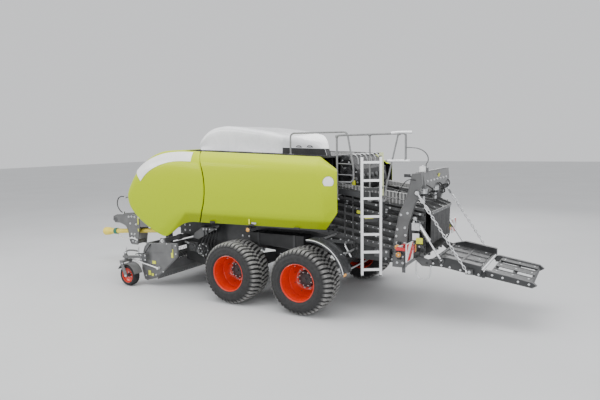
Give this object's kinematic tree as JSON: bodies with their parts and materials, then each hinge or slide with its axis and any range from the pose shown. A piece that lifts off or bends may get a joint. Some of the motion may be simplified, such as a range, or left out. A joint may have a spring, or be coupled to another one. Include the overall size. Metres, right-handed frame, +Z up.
{
  "type": "square baler",
  "caption": "Towed tandem-axle large square baler: bale channel, swing-up side panels and hood, pickup, folding bale chute, drawbar and parking jack.",
  "frame": {"origin": "centre of the machine's length and width, on the floor that it stands on", "axes": "+X forwards to the drawbar, +Y to the machine's left, +Z up"},
  "size_m": [9.1968, 2.9806, 2.945],
  "materials": {
    "chassis_paint": "satin",
    "arm_paint": "satin",
    "bright_steel": "galvanised",
    "green_panel": "gloss",
    "white_cover": "gloss",
    "roof_sheet": "satin",
    "tyre": "matt",
    "rim": "gloss",
    "gauge_tyre": "matt",
    "guard_yellow": "satin",
    "shaft_steel": "satin",
    "rail_paint": "satin",
    "aluminium": "satin",
    "board": "satin",
    "curtain": "matt",
    "hose": "satin"
  },
  "bodies": {
    "chassis": {"main_frame": "chassis_paint", "bogie_beams": "chassis_paint", "front_axle": "chassis_paint", "rear_axle": "chassis_paint", "drawbar": "chassis_paint", "tow_eye": "bright_steel", "pto_guard": "guard_yellow", "jack_tube": "chassis_paint", "channel_floor": "chassis_paint", "channel_walls": "chassis_paint", "channel_roof": "chassis_paint", "tension_arms": "arm_paint", "tension_beam": "arm_paint", "tension_cylinders": "arm_paint", "knotter_housing": "chassis_paint", "body_roof": "roof_sheet", "top_cover": "white_cover", "twine_boxes": "chassis_paint", "drive_block": "chassis_paint", "feeder_housing": "chassis_paint", "handrails": "rail_paint", "ladder_mount": "chassis_paint", "fenders": "bright_steel", "warning_boards": "board", "side_bow": "bright_steel", "front_hose": "hose", "rail_cable": "hose", "beam_cable": "hose"},
    "pressure_flap": {"top_flap": "chassis_paint", "tension_rods": "bright_steel", "mouth_curtain": "curtain"},
    "drive_shaft": {"pto_shaft": "shaft_steel"},
    "jack": {"jack_leg": "bright_steel"},
    "left_door": {"panel_left": "green_panel"},
    "right_door": {"panel_right": "green_panel"},
    "hood": {"front_hood": "green_panel"},
    "wheel_fl": {"tyre_front_left": "tyre", "rim_front_left": "rim"},
    "wheel_fr": {"tyre_front_right": "tyre", "rim_front_right": "rim"},
    "wheel_rl": {"tyre_rear_left": "tyre", "rim_rear_left": "rim"},
    "wheel_rr": {"tyre_rear_right": "tyre", "rim_rear_right": "rim"},
    "steer_l": {"knuckle_left": "chassis_paint"},
    "steer_r": {"knuckle_right": "chassis_paint"},
    "steer_link": {"tie_rod": "chassis_paint"},
    "pickup": {"pickup_frame": "arm_paint"},
    "reel": {"pickup_reel": "arm_paint"},
    "roller": {"crop_roller": "arm_paint"},
    "caster_l": {"gauge_fork_left": "arm_paint"},
    "caster_r": {"gauge_fork_right": "arm_paint"},
    "gauge_l": {"gauge_wheel_left": "gauge_tyre"},
    "gauge_r": {"gauge_wheel_right": "gauge_tyre"},
    "chute": {"chute_main": "chassis_paint"},
    "chute_end": {"chute_rear": "chassis_paint"},
    "chute_chains": {"chains": "bright_steel"},
    "fold_barrels": {"chute_barrels": "arm_paint"},
    "fold_rods": {"chute_rods": "bright_steel"},
    "access_ladder": {"ladder": "aluminium"}
  },
  "joints": [
    {"name": "wheel_front_left_spin", "type": "hinge", "parent": "chassis", "child": "wheel_fl", "pos_m": [-0.053, 1.21, 0.515], "axis": [0, 1, 0], "continuous": true},
    {"name": "wheel_front_right_spin", "type": "hinge", "parent": "chassis", "child": "wheel_fr", "pos_m": [-0.053, -1.21, 0.515], "axis": [0, 1, 0], "continuous": true},
    {"name": "steer_left", "type": "hinge", "parent": "chassis", "child": "steer_l", "pos_m": [-1.358, 0.85, 0.515], "axis": [0, 0, 1], "range_deg": [-12, 12]},
    {"name": "steer_right", "type": "hinge", "parent": "chassis", "child": "steer_r", "pos_m": [-1.358, -0.85, 0.515], "axis": [0, 0, 1], "range_deg": [-12, 12]},
    {"name": "steer_link_slide", "type": "slide", "parent": "chassis", "child": "steer_link", "axis": [0, 1, 0], "range_m": [-0.045, 0.045]},
    {"name": "wheel_rear_left_spin", "type": "hinge", "parent": "steer_l", "child": "wheel_rl", "pos_m": [-1.358, 1.21, 0.515], "axis": [0, 1, 0], "continuous": true},
    {"name": "wheel_rear_right_spin", "type": "hinge", "parent": "steer_r", "child": "wheel_rr", "pos_m": [-1.358, -1.21, 0.515], "axis": [0, 1, 0], "continuous": true},
    {"name": "drive_shaft_spin", "type": "hinge", "parent": "chassis", "child": "drive_shaft", "pos_m": [2.812, 0, 0.813], "axis": [0.9969, 0, -0.0781], "continuous": true},
    {"name": "jack_lift", "type": "slide", "parent": "chassis", "child": "jack", "axis": [0, 0, 1], "range_m": [0, 0.35]},
    {"name": "left_door_open", "type": "hinge", "parent": "chassis", "child": "left_door", "pos_m": [-1.358, 1.075, 2.416], "axis": [0.9992, 0, 0.0399], "range_deg": [0, 75]},
    {"name": "right_door_open", "type": "hinge", "parent": "chassis", "child": "right_door", "pos_m": [-1.358, -1.075, 2.416], "axis": [-0.9992, 0, -0.0399], "range_deg": [0, 75]},
    {"name": "hood_open", "type": "hinge", "parent": "chassis", "child": "hood", "pos_m": [1.067, 0, 2.555], "axis": [0, -1, 0], "range_deg": [0, 50]},
    {"name": "pressure_flap_tilt", "type": "hinge", "parent": "chassis", "child": "pressure_flap", "pos_m": [-2.273, 0, 1.785], "axis": [0, 1, 0], "range_deg": [-2, 2]},
    {"name": "pickup_lift", "type": "hinge", "parent": "chassis", "child": "pickup", "pos_m": [1.652, 0, 0.88], "axis": [0, -1, 0], "range_deg": [0, 15]},
    {"name": "reel_spin", "type": "hinge", "parent": "pickup", "child": "reel", "pos_m": [1.932, 0, 0.365], "axis": [0, 1, 0], "continuous": true},
    {"name": "crop_roller_lift", "type": "hinge", "parent": "pickup", "child": "roller", "pos_m": [1.752, 0, 0.7], "axis": [0, -1, 0], "range_deg": [0, 15]},
    {"name": "caster_left_swivel", "type": "hinge", "parent": "pickup", "child": "caster_l", "pos_m": [2.457, 1.33, 0.5], "axis": [0, 0, 1], "range_deg": [-25, 25]},
    {"name": "caster_right_swivel", "type": "hinge", "parent": "pickup", "child": "caster_r", "pos_m": [2.457, -1.33, 0.5], "axis": [0, 0, 1], "range_deg": [-25, 25]},
    {"name": "gauge_left_spin", "type": "hinge", "parent": "caster_l", "child": "gauge_l", "pos_m": [2.372, 1.33, 0.2], "axis": [0, 1, 0], "continuous": true},
    {"name": "gauge_right_spin", "type": "hinge", "parent": "caster_r", "child": "gauge_r", "pos_m": [2.372, -1.33, 0.2], "axis": [0, 1, 0], "continuous": true},
    {"name": "chute_fold", "type": "hinge", "parent": "chassis", "child": "chute", "pos_m": [-3.133, 0, 0.85], "axis": [0, 1, 0], "range_deg": [0, 75]},
    {"name": "chute_end_fold", "type": "hinge", "parent": "chute", "child": "chute_end", "pos_m": [-3.908, 0, 0.715], "axis": [0, 1, 0], "range_deg": [-150, 0]},
    {"name": "chain_swing", "type": "hinge", "parent": "chassis", "child": "chute_chains", "pos_m": [-3.008, 0, 1.883], "axis": [0, -1, 0], "range_deg": [0, 36]},
    {"name": "fold_barrel_swing", "type": "hinge", "parent": "chassis", "child": "fold_barrels", "pos_m": [-2.958, 0, 1.5], "axis": [0, -1, 0], "range_deg": [0, 12]},
    {"name": "fold_rod_slide", "type": "slide", "parent": "fold_barrels", "child": "fold_rods", "axis": [0.5482, 0, 0.8364], "range_m": [0, 0.255]},
    {"name": "ladder_lift", "type": "slide", "parent": "chassis", "child": "access_ladder", "axis": [0, 0, 1], "range_m": [0, 0.4]}
  ],
  "couplings": [
    {"joint": "steer_right", "follows": "steer_left", "ratio": 1},
    {"joint": "steer_link_slide", "follows": "steer_left", "m_per_rad": -0.205},
    {"joint": "chain_swing", "follows": "chute_fold", "ratio": 0.45},
    {"joint": "fold_barrel_swing", "follows": "chute_fold", "ratio": 0.143},
    {"joint": "fold_rod_slide", "follows": "chute_fold", "m_per_rad": 0.189}
  ]
}
